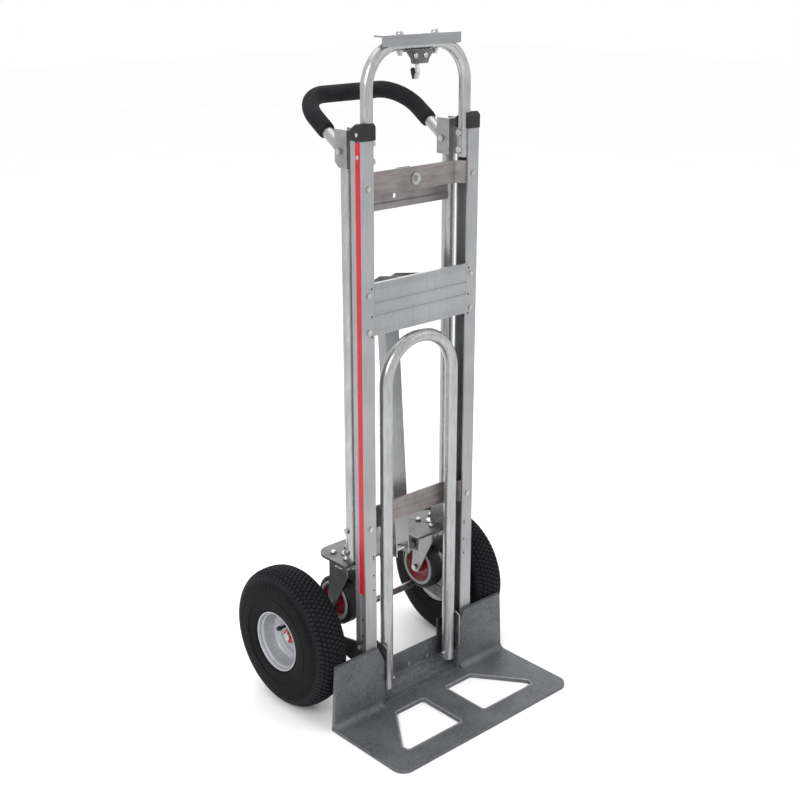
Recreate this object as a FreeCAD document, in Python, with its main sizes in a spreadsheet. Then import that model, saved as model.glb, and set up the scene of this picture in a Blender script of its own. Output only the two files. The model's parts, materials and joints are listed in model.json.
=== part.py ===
import FreeCAD, Part
import math
import os
import re
import Sketcher
from FreeCAD import Rotation, Vector

# Convertible hand truck. X to the right seen from the load side, +Y to the back, +Z up.
# Origin: floor level, middle of the width, front faces of the side rails at y = 0.

DIMS = {
    # side rails: C sections, open towards each other
    "rail_in": 117, "rail_out": 145, "rail_depth": 29.4, "rail_wall": 3, "rail_web_in": 139.5,
    "rail_low": 22, "rail_top": 1136, "groove_depth": 2.5, "groove_front": 4, "groove_rear": 17,
    "strip_low": 262, "strip_fit": 0.2,
    "cap_low": 1134, "cap_top": 1166, "cap_wall": 2.5,
    # crossbars
    "strap_gauge": 4, "strap_end": 134, "stud_z": 1055, "upper_bar_set": 15,
    "upper_bar_low": 1035, "upper_bar_top": 1077,
    "panel_low": 783, "panel_top": 881, "panel_skin": 3, "panel_half": 116.7,
    "lower_bar_low": 386, "lower_bar_top": 431, "lower_bar_set": 20,
    # top loop and angle bar
    "loop_half": 120, "loop_y": 14.6, "loop_tube": 11.2, "loop_bore": 9.2, "loop_bend": 74,
    "loop_low": 1083, "loop_crown": 1293.8,
    "bar_half": 94, "bar_top": 1310, "bar_drop": 19, "bar_gauge": 3, "bar_front": 0, "bar_rear": 24,
    "hook_y": 16.5, "hook_z": 1265,
    # nose plate
    "nose_half": 236, "nose_front": -205, "nose_gauge": 7, "nose_corner": 26,
    "wing_top": 140, "wing_in": 104, "wing_gauge": 8, "wing_slope": 8,
    "heel_front": 28, "heel_top": 77, "heel_gauge": 7, "toe_start": -12, "toe_top": 38,
    "hole_corner": 7, "hole_in": 32, "hole_rear": -45, "hole_front": -155, "hole_out_rear": 105, "hole_out_front": 176,
    # nose extension hoop
    "ext_half": 86, "ext_y": 5, "ext_tube": 12.7, "ext_bore": 10.7, "ext_bend": 84,
    "ext_low": 35, "ext_pivot": 46.5, "ext_crown": 760.3,
    # axle and main wheels
    "axle_y": 145, "axle_z": 145, "axle_rad": 7.94, "axle_half": 231, "hub_rad": 17,
    "wheel_x": 219, "tyre_rad": 145, "tyre_half": 41, "rim_rad": 62, "rim_half": 38, "bore_rad": 8.0,
    # strut
    "strut_y": 98, "strut_z": 820, "strut_half": 18, "strut_gauge": 3, "strut_deep": 22,
    "lower_y": 62, "lower_z": 296, "strut_pin": 5, "strut_hole": 5.05,
    "spring_wire": 1.4, "spring_run": 14,
    # handle frame
    "tube_x": 126, "tube_y": 60, "tube_rad": 12.7, "tube_bore": 10.7, "tube_low": 313.0, "tube_top": 1094,
    "cross_low": 1000, "cross_top": 1034, "cross_deep": 20,
    "grip_tube": 11.1, "grip_bore": 9.1, "grip_run": 164, "grip_bend": 60, "grip_z": 1104, "grip_y": 60,
    "foam_rad": 16, "foam_start": 66, "grip_tilt": 34,
    "deck_low": 308, "deck_gauge": 5, "deck_half": 157, "deck_front": 46, "deck_rear": 143, "deck_corner": 32,
    # casters
    "caster_x": 116, "caster_y": 89, "caster_trail": 26, "caster_axle": 203, "caster_rad": 51,
    "caster_core": 38, "caster_half": 14, "fork_half": 19, "fork_gauge": 3, "race_rad": 27,
    # fasteners
    "bolt_rad": 4, "head_rad": 6.5, "head_high": 4.5, "rivet_rad": 5, "rivet_high": 2.2,
}

MAIN_SIDES = (("left", -1), ("right", 1))

doc = FreeCAD.newDocument("hand_truck")
sheet = doc.addObject("Spreadsheet::Sheet", "Dims")
for row, (alias, number) in enumerate(DIMS.items(), start=1):
    sheet.set("A%d" % row, alias)
    sheet.set("B%d" % row, str(number))
    sheet.setAlias("B%d" % row, alias)
scratch = doc.addObject("Spreadsheet::Sheet", "Scratch")
doc.recompute()

PIECES = []
WORKED_OUT = {}


def named(text):
    """Write sheet aliases in an expression with their sheet's name in front."""
    return re.sub(r"[a-z][a-z_]*", lambda word: "Dims." + word.group(), text)


def number(text):
    """Value of an expression or a plain number, in mm."""
    if isinstance(text, (int, float)):
        return float(text)
    if text not in WORKED_OUT:
        scratch.set("A1", "=" + named(text))
        scratch.recompute()
        found = scratch.get("A1")
        WORKED_OUT[text] = float(getattr(found, "Value", found))
    return WORKED_OUT[text]


def bind(target, path, text):
    """Drive a property from the sheet."""
    if isinstance(text, str):
        target.setExpression(path, named(text))


def locate(target, x=0, y=0, z=0, rotation=None):
    """Place an object; text coordinates stay tied to the sheet."""
    base = Vector(number(x), number(y), number(z))
    target.Placement = FreeCAD.Placement(base, rotation or Rotation())
    for axis, text in (("x", x), ("y", y), ("z", z)):
        bind(target, "Placement.Base." + axis, text)
    return target


def piece(target, label):
    """Keep an object as one named sub-part."""
    target.Label = label
    PIECES.append(target)
    return target


def new_body(label):
    body = doc.addObject("PartDesign::Body", label + "_body")
    return piece(body, label)


def new_sketch(body, role, offset=0):
    """Sketch on one of the body's own planes, moved along the plane's normal."""
    sketch = body.newObject("Sketcher::SketchObject", "profile")
    plane = next(item for item in body.Origin.OriginFeatures if item.Role == role)
    sketch.AttachmentSupport = (plane, [""])
    sketch.MapMode = "FlatFace"
    sketch.AttachmentOffset = FreeCAD.Placement(Vector(0, 0, number(offset)), Rotation())
    bind(sketch, "AttachmentOffset.Base.z", offset)
    return sketch


def pin_point(sketch, geometry, point, x, y):
    """Hold a sketch point at x, y measured from the origin."""
    for kind, axis_line, text in (("DistanceX", -2, x), ("DistanceY", -1, y)):
        if number(text) == 0:
            sketch.addConstraint(Sketcher.Constraint("PointOnObject", geometry, point, axis_line))
            continue
        place = sketch.addConstraint(
            Sketcher.Constraint(kind, -1, 1, geometry, point, number(text)))
        bind(sketch, "Constraints[%d]" % place, text)


def polygon(sketch, corners):
    """Closed outline through the corners."""
    values = [Vector(number(x), number(y), 0) for x, y in corners]
    count = len(values)
    first = sketch.GeometryCount
    for index in range(count):
        sketch.addGeometry(Part.LineSegment(values[index], values[(index + 1) % count]), False)
    for index in range(count):
        following = first + (index + 1) % count
        sketch.addConstraint(Sketcher.Constraint("Coincident", first + index, 2, following, 1))
        pin_point(sketch, first + index, 1, *corners[index])


def ring(sketch, x, y, radius):
    """Circle held by its centre and radius."""
    centre = Vector(number(x), number(y), 0)
    place = sketch.addGeometry(Part.Circle(centre, Vector(0, 0, 1), number(radius)), False)
    pin_point(sketch, place, 3, x, y)
    held = sketch.addConstraint(Sketcher.Constraint("Radius", place, number(radius)))
    bind(sketch, "Constraints[%d]" % held, radius)


def pad(body, sketch, length):
    feature = body.newObject("PartDesign::Pad", "pad")
    feature.Profile = sketch
    feature.Length = number(length)
    bind(feature, "Length", length)
    sketch.Visibility = False
    body.Tip = feature
    return feature


def plate(body, role, corners, start, length, holes=()):
    """Prism on an origin plane: outline, start along the plane's normal, length."""
    sketch = new_sketch(body, role, start)
    polygon(sketch, corners)
    for hole in holes:
        ring(sketch, *hole)
    return pad(body, sketch, length)


def box_corners(x0, x1, y0, y1):
    return [(x0, y0), (x1, y0), (x1, y1), (x0, y1)]


def front_plate(body, corners, front, length, holes=()):
    """Prism drawn on X and Z, reaching back from y = front."""
    return plate(body, "XZ_Plane", corners, "-( %s ) - ( %s )" % (front, length), length, holes)


def pocket(body, role, outlines, name):
    """Cut outlines right through, square to one of the body's planes."""
    sketch = new_sketch(body, role)
    for corners in outlines:
        polygon(sketch, corners)
    opening = body.newObject("PartDesign::Pocket", name)
    opening.Profile = sketch
    opening.Type = 1
    opening.Midplane = True
    sketch.Visibility = False
    body.Tip = opening


def drill(body, role, x, y, radius):
    """Round hole right through, square to one of the body's planes."""
    sketch = new_sketch(body, role)
    ring(sketch, x, y, radius)
    hole = body.newObject("PartDesign::Pocket", "through_hole")
    hole.Profile = sketch
    hole.Type = 1
    hole.Midplane = True
    sketch.Visibility = False
    body.Tip = hole


def round_edges(body, radius, chosen):
    """Fillet the tip's edges that pass the test."""
    doc.recompute()
    base = body.Tip
    names = ["Edge%d" % (index + 1) for index, edge in enumerate(base.Shape.Edges) if chosen(edge)]
    feature = body.newObject("PartDesign::Fillet", "fillet")
    feature.Base = (base, names)
    feature.Radius = number(radius)
    bind(feature, "Radius", radius)
    body.Tip = feature
    return feature


def revolve(label, corners, x=0, y=0, z=0, rotation=None):
    """Turned piece: corners are (along the axis, radius); the axis is the body's X."""
    body = new_body(label)
    sketch = new_sketch(body, "XY_Plane")
    polygon(sketch, corners)
    feature = body.newObject("PartDesign::Revolution", "turned")
    feature.Profile = sketch
    feature.ReferenceAxis = (sketch, ["H_Axis"])
    feature.Angle = 360
    sketch.Visibility = False
    body.Tip = feature
    return locate(body, x, y, z, rotation)


def hoop(label, half, run, bend, outer, bore, start=0):
    """U-shaped tube in the body's XY plane, legs along +Y, closed end at y = run."""
    body = new_body(label)
    spine = new_sketch(body, "XY_Plane")
    w, high, r, low = number(half), number(run), number(bend), number(start)
    quarter = math.pi / 2
    centre_left, centre_right = Vector(-w + r, high - r, 0), Vector(w - r, high - r, 0)
    up = Vector(0, 0, 1)
    lines = [
        Part.LineSegment(Vector(-w, low, 0), Vector(-w, high - r, 0)),
        Part.ArcOfCircle(Part.Circle(centre_left, up, r), quarter, 2 * quarter),
        Part.LineSegment(Vector(-w + r, high, 0), Vector(w - r, high, 0)),
        Part.ArcOfCircle(Part.Circle(centre_right, up, r), 0, quarter),
        Part.LineSegment(Vector(w, high - r, 0), Vector(w, low, 0)),
    ]
    for line in lines:
        spine.addGeometry(line, False)
    for pair in ((0, 2, 1, 2), (1, 1, 2, 1), (2, 2, 3, 2), (3, 1, 4, 1)):
        spine.addConstraint(Sketcher.Constraint("Tangent", *pair))
    spine.addConstraint(Sketcher.Constraint("Vertical", 0))
    spine.addConstraint(Sketcher.Constraint("Horizontal", 2))
    spine.addConstraint(Sketcher.Constraint("Vertical", 4))
    pin_point(spine, 0, 1, "-( %s )" % half, start)
    pin_point(spine, 4, 2, half, start)
    for constraint, text in (
            (Sketcher.Constraint("DistanceY", -1, 1, 2, 1, high), run),
            (Sketcher.Constraint("Radius", 1, r), bend),
            (Sketcher.Constraint("Radius", 3, r), bend)):
        bind(spine, "Constraints[%d]" % spine.addConstraint(constraint), text)
    section = new_sketch(body, "XZ_Plane", "-( %s )" % start)
    ring(section, "-( %s )" % half, 0, outer)
    ring(section, "-( %s )" % half, 0, bore)
    pipe = body.newObject("PartDesign::AdditivePipe", "bent_tube")
    pipe.Profile = section
    pipe.Spine = (spine, ["Edge%d" % (index + 1) for index in range(len(lines))])
    spine.Visibility = False
    section.Visibility = False
    body.Tip = pipe
    return body


def cylinder(name, radius, height, x, y, z, rotation=None):
    solid = doc.addObject("Part::Cylinder", name)
    solid.Radius = number(radius)
    solid.Height = number(height)
    bind(solid, "Radius", radius)
    bind(solid, "Height", height)
    return locate(solid, x, y, z, rotation)


def fuse(name, parts):
    joined = doc.addObject("Part::MultiFuse", name)
    joined.Shapes = parts
    joined.Refine = True
    return joined


def cut(name, base, tool):
    result = doc.addObject("Part::Cut", name)
    result.Base = base
    result.Tool = tool
    return result


def group(label, parts):
    """Several separate solids in one node."""
    together = doc.addObject("Part::Compound", label + "_group")
    together.Links = parts
    return piece(together, label)


TO_X = Rotation(Vector(0, 1, 0), 90)
TO_Y = Rotation(Vector(1, 0, 0), -90)
TO_FRONT = Rotation(Vector(1, 0, 0), 90)


def hexagon(name, x, y, z, turn):
    """Hex head or nut."""
    shape = doc.addObject("Part::Prism", name)
    shape.Polygon = 6
    bind(shape, "Circumradius", "head_rad")
    bind(shape, "Height", "head_high")
    return locate(shape, x, y, z, turn)


def cross_bolt(name, sign, near, far, y, z, outer=True):
    """Bolt along X on one side of the truck: hex at the near end, nut short of the far end."""
    start = near if sign > 0 else "-( %s )" % far
    shank = cylinder(name + "_shank", "bolt_rad", "( %s ) - ( %s )" % (far, near), start, y, z, TO_X)
    heads = [near] + ([("( %s ) - head_high - 1" % far)] if outer else [])
    parts = [shank]
    for index, reach in enumerate(heads):
        x = reach if sign > 0 else "-( %s ) - head_high" % reach
        parts.append(hexagon("%s_hex_%d" % (name, index), x, y, z, TO_X))
    return fuse(name, parts)


def rivet(name, x, y, z, length):
    """Rivet through a wall, low head to the front."""
    shank = cylinder(name + "_shank", "rivet_rad - 2", length, x, y, z, TO_Y)
    head = cylinder(name + "_head", "rivet_rad", "rivet_high", x, "( %s ) - rivet_high" % y, z, TO_Y)
    return fuse(name, [shank, head])


def build_rails():
    for side, sign in MAIN_SIDES:
        def flip(corners):
            return [("%d * ( %s )" % (sign, x), y) for x, y in corners]
        rail = new_body(side + "_side_rail")
        plate(rail, "XY_Plane", flip([
            ("rail_in", 0), ("rail_out", 0), ("rail_out", "groove_front"),
            ("rail_out - groove_depth", "groove_front"), ("rail_out - groove_depth", "groove_rear"),
            ("rail_out", "groove_rear"), ("rail_out", "rail_depth"), ("rail_in", "rail_depth"),
            ("rail_in", "rail_depth - rail_wall"), ("rail_web_in", "rail_depth - rail_wall"),
            ("rail_web_in", "rail_wall"), ("rail_in", "rail_wall")]),
            "rail_low", "rail_top - rail_low")
        strip = new_body(side + "_trim_strip")
        plate(strip, "XY_Plane", flip(box_corners(
            "rail_out - groove_depth", "rail_out + 0.3",
            "groove_front + strip_fit", "groove_rear - strip_fit")),
            "strip_low", "rail_top - strip_low - 3")
        cap = new_body(side + "_rail_cap")
        plate(cap, "YZ_Plane", [
            ("-( cap_wall )", "rail_top"), ("rail_depth + cap_wall", "rail_top"),
            ("rail_depth + cap_wall", "cap_top - 12"), ("rail_depth - 12", "cap_top - 1.5"),
            ("groove_front", "cap_top"), ("-( cap_wall )", "cap_top - 6")],
            "%d * ( rail_in + rail_out + cap_wall - 3 ) / 2 - ( rail_out - rail_in + cap_wall + 3 ) / 2" % sign,
            "rail_out - rail_in + cap_wall + 3")
        notch = [("%d * ( rail_in - 4 )" % sign, "loop_y + loop_tube + 0.5"),
                 ("%d * ( loop_half + loop_tube + 0.5 )" % sign, "loop_y + loop_tube + 0.5"),
                 ("%d * ( loop_half + loop_tube + 0.5 )" % sign, "loop_y - loop_tube - 0.5"),
                 ("%d * ( rail_in - 4 )" % sign, "loop_y - loop_tube - 0.5")]
        pocket(cap, "XY_Plane", [notch], "tube_notch")
        outer = number("rail_out + cap_wall") - 0.1
        round_edges(cap, 5, lambda edge: min(abs(edge.BoundBox.XMin), abs(edge.BoundBox.XMax)) > outer
                    and edge.BoundBox.ZMax > number("rail_top") + 1)


def strap(label, low, top, setback):
    """Flat crossbar: ends inside the rails, middle set back by a joggle."""
    body = new_body(label)
    edge, gauge = "strap_end", "strap_gauge"
    front = "rail_wall"
    rear = "( rail_wall ) + ( %s )" % gauge
    deep = "( rail_wall ) + ( %s )" % setback
    deep_rear = "( %s ) + ( %s )" % (deep, gauge)
    plate(body, "XY_Plane", [
        ("-( strap_end )", front), ("-( rail_in - 4 )", front), ("-( rail_in - 16 )", deep),
        ("rail_in - 16", deep), ("rail_in - 4", front), (edge, front), (edge, rear),
        ("rail_in - 6", rear), ("rail_in - 18", deep_rear), ("-( rail_in - 18 )", deep_rear),
        ("-( rail_in - 6 )", rear), ("-( strap_end )", rear)], low, "( %s ) - ( %s )" % (top, low))
    return body


def build_crossbars():
    upper = strap("upper_crossbar", "upper_bar_low", "upper_bar_top", "upper_bar_set")
    drill(upper, "XZ_Plane", 0, "stud_z", 5.1)
    strap("lower_crossbar", "lower_bar_low", "lower_bar_top", "lower_bar_set")
    panel = new_body("middle_crossbar_panel")
    outline = [(0, "panel_low"), (7, "panel_low"), (7, "panel_low + 4"), ("panel_skin", "panel_low + 4"),
               ("panel_skin", "panel_top - 4"), (7, "panel_top - 4"), (7, "panel_top"), (0, "panel_top")]
    for level in (0.64, 0.4):
        z = "panel_low + %s * ( panel_top - panel_low )" % level
        outline += [(0, z + " + 1.5"), (1.2, z + " + 1.5"), (1.2, z + " - 1.5"), (0, z + " - 1.5")]
    plate(panel, "YZ_Plane", outline, "-( panel_half )", "2 * panel_half")
    for sign in (-1, 1):
        front_plate(panel, box_corners("%d * 112" % sign, "%d * ( strap_end )" % sign,
                                       "panel_low + 6", "panel_top - 6"), "panel_skin", 3)
    heads = []
    levels = (1052, 860, 792, 400)
    for side, sign in MAIN_SIDES:
        for index, z in enumerate(levels):
            heads.append(rivet("rail_rivet_%s_%d" % (side, index), "%d * 130" % sign, 0, z,
                               "rail_wall + strap_gauge - 1.2"))
    group("crossbar_rivets", heads)


def build_top():
    loop = hoop("top_loop_tube", "loop_half", "loop_crown - loop_low", "loop_bend", "loop_tube", "loop_bore")
    locate(loop, 0, "loop_y", "loop_low", TO_FRONT)
    bar = new_body("top_angle_bar")
    plate(bar, "YZ_Plane", [
        ("bar_front", "bar_top - bar_drop"), ("bar_front + bar_gauge", "bar_top - bar_drop"),
        ("bar_front + bar_gauge", "bar_top - bar_gauge"), ("bar_rear", "bar_top - bar_gauge"),
        ("bar_rear", "bar_top"), ("bar_front", "bar_top")], "-( bar_half )", "2 * bar_half")
    flipped = []
    for index, x in enumerate((-42, 42)):
        shank = cylinder("bar_stud_%d" % index, "bolt_rad", 38, x, "loop_y", "bar_top - 36")
        dome = doc.addObject("Part::Sphere", "bar_dome_%d" % index)
        dome.Radius = 7
        dome.Angle1 = 0
        locate(dome, x, "loop_y", "bar_top")
        nut = doc.addObject("Part::Prism", "bar_nut_%d" % index)
        nut.Polygon = 6
        bind(nut, "Circumradius", "head_rad")
        bind(nut, "Height", "head_high")
        locate(nut, x, "loop_y", "loop_crown - loop_tube - head_high")
        flipped.append(fuse("bar_fastener_%d" % index, [shank, dome, nut]))
    group("angle_bar_bolts", flipped)
    group("top_loop_bolts", [
        cross_bolt("loop_bolt_%s_%d" % (side, index), sign, "loop_half - loop_tube - head_high", "rail_web_in - 0.3",
                   "loop_y", z, outer=False)
        for side, sign in MAIN_SIDES for index, z in enumerate((1097, 1128))])


def build_hook():
    bracket = new_body("hook_bracket")
    for x in (-7, 4):
        plate(bracket, "YZ_Plane", box_corners(8.5, 24, 1259, 1281), x, 3, [("hook_y", "hook_z", 3.03)])
    plate(bracket, "XY_Plane", box_corners(-30, 30, 6, 24), 1279.4, 2.8)
    front_plate(bracket, [(-34, 1282), (34, 1282), (22, 1268), (18, 1259), (-18, 1259), (-22, 1268)], 6, 3)
    hook = new_body("latch_hook")
    plate(hook, "YZ_Plane", [
        (20, 1270), (13, 1270), (13, 1260), (10, 1243), (14.5, 1231.5), (23.5, 1232), (27.5, 1243),
        (24, 1245), (21.5, 1239.5), (17.5, 1238.5), (15, 1244), (19.5, 1260)], -3, 6, [("hook_y", "hook_z", 3.05)])
    tip = doc.addObject("Part::Sphere", "tip_ball")
    tip.Radius = 4.5
    piece(locate(tip, 0, 26, 1246.5), "hook_tip")
    piece(cylinder("hook_pin_solid", 3, 20, -10, "hook_y", "hook_z", TO_X), "hook_pin")


def build_nose():
    nose = new_body("nose_plate")
    corners = [("-( nose_half )", "nose_front"), ("nose_half", "nose_front"), ("nose_half", 0),
               ("wing_in", 0), ("wing_in", "heel_front"), ("-( wing_in )", "heel_front"),
               ("-( wing_in )", 0), ("-( nose_half )", 0)]
    plate(nose, "XY_Plane", corners, 0, "nose_gauge")
    for sign in (-1, 1):
        front_plate(nose, [
            ("%d * nose_half" % sign, 0), ("%d * ( nose_half - wing_slope )" % sign, "wing_top"),
            ("%d * ( wing_in + 16 )" % sign, "wing_top"), ("%d * ( wing_in )" % sign, "wing_top - 34"),
            ("%d * ( wing_in )" % sign, 0)], "-( wing_gauge ) - 0.4", "wing_gauge")
        plate(nose, "YZ_Plane", [
            ("-( wing_gauge ) - 0.4", 0), ("heel_front + heel_gauge", 0),
            ("heel_front + heel_gauge", "heel_top"), ("-0.4", "wing_top - 34"),
            ("-( wing_gauge ) - 0.4", "wing_top - 34")],
            "%d * ( wing_in + 3 ) - 3" % sign, 6)
    plate(nose, "YZ_Plane", [
        ("toe_start", 0), ("heel_front + heel_gauge", 0), ("heel_front + heel_gauge", "heel_top"),
        ("heel_front", "heel_top"), ("heel_front", "toe_top"), ("heel_front - 3", "toe_top - 11"),
        ("heel_front - 11", "toe_top - 21"), ("heel_front - 24", "nose_gauge + 3"), ("toe_start", "nose_gauge")],
        "-( wing_in )", "2 * wing_in")
    pocket(nose, "XY_Plane", [[
        ("%d * hole_in" % sign, "hole_rear"), ("%d * hole_out_rear" % sign, "hole_rear"),
        ("%d * hole_out_front" % sign, "hole_front + 14"), ("%d * ( hole_out_front - 2 )" % sign, "hole_front"),
        ("%d * hole_in" % sign, "hole_front")] for sign in (-1, 1)], "light_holes")
    front = number("nose_front")
    half = number("nose_half")

    def outer_corner(edge):
        box = edge.BoundBox
        upright = box.XLength < 0.01 and box.YLength < 0.01
        return upright and abs(abs(box.XMin) - half) < 0.1 and abs(box.YMin - front) < 0.1
    round_edges(nose, "nose_corner", outer_corner)

    def hole_corner(edge):
        box = edge.BoundBox
        upright = box.XLength < 0.01 and box.YLength < 0.01 and box.ZMax < number("nose_gauge") + 0.1
        inside = number("hole_front") - 1 < box.YMin < number("hole_rear") + 1
        return upright and inside and abs(box.XMin) < number("hole_out_front") + 1
    round_edges(nose, "hole_corner", hole_corner)
    heads = [rivet("heel_rivet_%d" % index, x, "heel_front", 46, 4) for index, x in enumerate((-5, 46))]
    group("heel_rivets", heads)
    bolts = []
    for side, sign in MAIN_SIDES:
        for index, z in enumerate((50, 105)):
            name = "rail_bolt_%s_%d" % (side, index)
            x = "%d * 129" % sign
            shank = cylinder(name + "_shank", "bolt_rad", "wing_gauge + rail_wall - 2", x, "2 - wing_gauge", z, TO_Y)
            bolts.append(fuse(name, [shank, hexagon(name + "_hex", x, "rail_wall", z, TO_Y)]))
    group("nose_plate_bolts", bolts)


def build_extension():
    ext = hoop("nose_extension_hoop", "ext_half", "ext_crown - ext_low", "ext_bend", "ext_tube", "ext_bore")
    drill(ext, "YZ_Plane", "ext_pivot - ext_low", 0, "bolt_rad + 0.05")
    locate(ext, 0, "ext_y", "ext_low", TO_FRONT)
    pins = []
    for side, sign in MAIN_SIDES:
        bracket = new_body(side + "_extension_bracket")
        middle = "%d * ext_half" % sign
        plate(bracket, "YZ_Plane", [
            (-2, 34), (24, 34), (27.6, 38), (27.6, 141), (-1.5, 141), (-13.5, 135), (-13.5, 66), (-2, 50)],
            "%s + %s - 1.5" % (middle, 15.1 * sign), 3)
        front_plate(bracket, box_corners("%s - 12" % middle, "%s + %s" % (middle, 16.6 * sign), 40, 122), 24.6, 3)
        pins.append(cross_bolt("ext_bolt_" + side, sign, "ext_half - ext_tube - 0.4 - head_high", "ext_half + 17.2",
                               "ext_y", "ext_pivot", outer=False))
    group("extension_pivot_bolts", pins)


def build_axle():
    for side, sign in MAIN_SIDES:
        bracket = new_body(side + "_axle_bracket")
        plate(bracket, "YZ_Plane", [
            (4, 108), (20, 104), ("axle_y + 4", "axle_z - 16"), ("axle_y + 15", "axle_z - 8"),
            ("axle_y + 15", "axle_z + 6"), ("axle_y + 6", "axle_z + 14"), ("axle_y - 8", "axle_z + 11"),
            (100, 146), (60, 148), (4, 158)],
            "%d * ( rail_out + 3.1 ) - 2.5" % sign, 5, [("axle_y", "axle_z", "axle_rad + 0.03")])
    revolve("axle", box_corners("-( axle_half )", "axle_half", 0, "axle_rad"), 0, "axle_y", "axle_z")
    bolts, washers, cotters = [], [], []
    for side, sign in MAIN_SIDES:
        for index, z in enumerate((122, 145)):
            bolts.append(cross_bolt("axle_bolt_%s_%d" % (side, index), sign, "rail_web_in - head_high",
                                    "rail_out + 6.2 + head_high", 14, z))
        for reach in ("axle_half - 6", "wheel_x - 62"):
            disc = cylinder("washer_" + side + reach[0], 14, 2,
                            "%d * ( %s ) - 1" % (sign, reach), "axle_y", "axle_z", TO_X)
            core = cylinder("washer_hole_" + side + reach[0], "axle_rad", 6,
                            "%d * ( %s ) - 3" % (sign, reach), "axle_y", "axle_z", TO_X)
            washers.append(cut("washer_ring_" + side + reach[0], disc, core))
        cotters.append(cylinder("cotter_" + side, 1.6, 24, "%d * ( axle_half - 2.2 )" % sign,
                                "axle_y", "axle_z - 12"))
    group("axle_bracket_bolts", bolts)
    group("axle_washers", washers)
    group("cotter_pins", cotters)


def build_wheels():
    for side, sign in MAIN_SIDES:
        outwards = Rotation(Vector(0, 0, 1), 90 - 90 * sign)
        place = ("%d * wheel_x" % sign, "axle_y", "axle_z", outwards)
        revolve(side + "_tyre", [
            ("-( rim_half ) + 6", "rim_rad - 8"), ("-( rim_half ) + 2", "rim_rad + 2"),
            ("-( tyre_half ) + 3", "rim_rad + 14"), ("-( tyre_half )", "rim_rad + 36"),
            ("-( tyre_half ) + 3", "tyre_rad - 22"), ("-( tyre_half ) + 11", "tyre_rad - 8"),
            ("-( tyre_half ) + 24", "tyre_rad - 1"), (0, "tyre_rad"), ("tyre_half - 24", "tyre_rad - 1"),
            ("tyre_half - 11", "tyre_rad - 8"), ("tyre_half - 3", "tyre_rad - 22"), ("tyre_half", "rim_rad + 36"),
            ("tyre_half - 3", "rim_rad + 14"), ("rim_half - 2", "rim_rad + 2"), ("rim_half - 6", "rim_rad - 8"),
            ("rim_half - 11", "rim_rad - 8.4"), ("rim_half - 10", "rim_rad + 6"), ("tyre_half - 8", "rim_rad + 20"),
            ("tyre_half - 8", "tyre_rad - 26"), ("tyre_half - 22", "tyre_rad - 11"),
            ("-( tyre_half ) + 22", "tyre_rad - 11"),
            ("-( tyre_half ) + 8", "tyre_rad - 26"), ("-( tyre_half ) + 8", "rim_rad + 20"),
            ("-( rim_half ) + 10", "rim_rad + 6"), ("-( rim_half ) + 11", "rim_rad - 8.4")], *place)
        revolve(side + "_rim", [
            ("rim_half", "rim_rad"), ("rim_half - 2", "rim_rad"), ("rim_half - 5.5", "rim_rad - 8.6"),
            ("rim_half - 14", "rim_rad - 8.6"), ("rim_half - 18", "rim_rad - 14"), ("-( rim_half ) + 18", "rim_rad - 14"),
            ("-( rim_half ) + 14", "rim_rad - 8.6"), ("-( rim_half ) + 5.5", "rim_rad - 8.6"),
            ("-( rim_half ) + 2", "rim_rad"), ("-( rim_half )", "rim_rad"), ("-( rim_half ) + 3", "rim_rad - 10.5"),
            ("-( rim_half ) + 15", "rim_rad - 10.5"), ("-( rim_half ) + 19", "rim_rad - 16"),
            (-2.5, "rim_rad - 16"), (-6, 40), (-6, 31), (-3, 27), (-3, "hub_rad"), (0, "hub_rad"),
            (0, 28.5), (-3, 32), (-3, 41), (1, "rim_rad - 16"), ("rim_half - 19", "rim_rad - 16"),
            ("rim_half - 15", "rim_rad - 10.5"), ("rim_half - 3", "rim_rad - 10.5")], *place)
        revolve(side + "_hub", [
            (-60, "bore_rad"), (4, "bore_rad"), (4, "hub_rad - 3"), (2, "hub_rad"), (-57, "hub_rad"),
            (-60, "hub_rad - 3")], *place)
        revolve(side + "_valve_stem", box_corners(-8, 18, 0, 3.2), "%d * wheel_x" % sign,
                "axle_y + 19", "axle_z + 13", outwards)


def build_strut():
    strut = new_body("strut_channel")
    run = math.hypot(number("strut_y") - number("lower_y"), number("strut_z") - number("lower_z"))
    lean = math.degrees(math.atan2(number("strut_y") - number("lower_y"), number("strut_z") - number("lower_z")))
    ends = box_corners(-11, 11, "-12", run + 12)
    for offset in ("-( strut_half )", "strut_half - strut_gauge"):
        plate(strut, "YZ_Plane", ends, offset, "strut_gauge", [(0, 0, "strut_hole"), (0, run, "strut_hole")])
    front_plate(strut, box_corners("-( strut_half )", "strut_half", 16, run - 16), -11, "strut_gauge")
    locate(strut, 0, "lower_y", "lower_z", Rotation(Vector(1, 0, 0), -lean))
    for side, sign in MAIN_SIDES:
        bracket = new_body(side + "_strut_bracket")
        plate(bracket, "YZ_Plane", [
            (7.4, 792), ("strut_y", 802), ("strut_y + 16", 812), ("strut_y + 18", 848), ("strut_y - 4", 862),
            (7.4, 878)],
            "%d * ( strut_half + 2.5 ) - 1.8" % sign, 3.6, [("strut_y", "strut_z", "strut_pin + 0.03")])
        foot = box_corners("%d * ( strut_half + 0.7 )" % sign, "%d * ( strut_half + 22 )" % sign, 792, 878)
        front_plate(bracket, foot, 7.4, 3.4)
    revolve("strut_upper_pin", [
        ("-( strut_half ) - 9", 0), ("strut_half + 9", 0), ("strut_half + 9", 8), ("strut_half + 4.6", 8),
        ("strut_half + 4.6", "strut_pin"), ("-( strut_half ) - 4.6", "strut_pin"),
        ("-( strut_half ) - 4.6", 8), ("-( strut_half ) - 9", 8)], 0, "strut_y", "strut_z")


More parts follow.
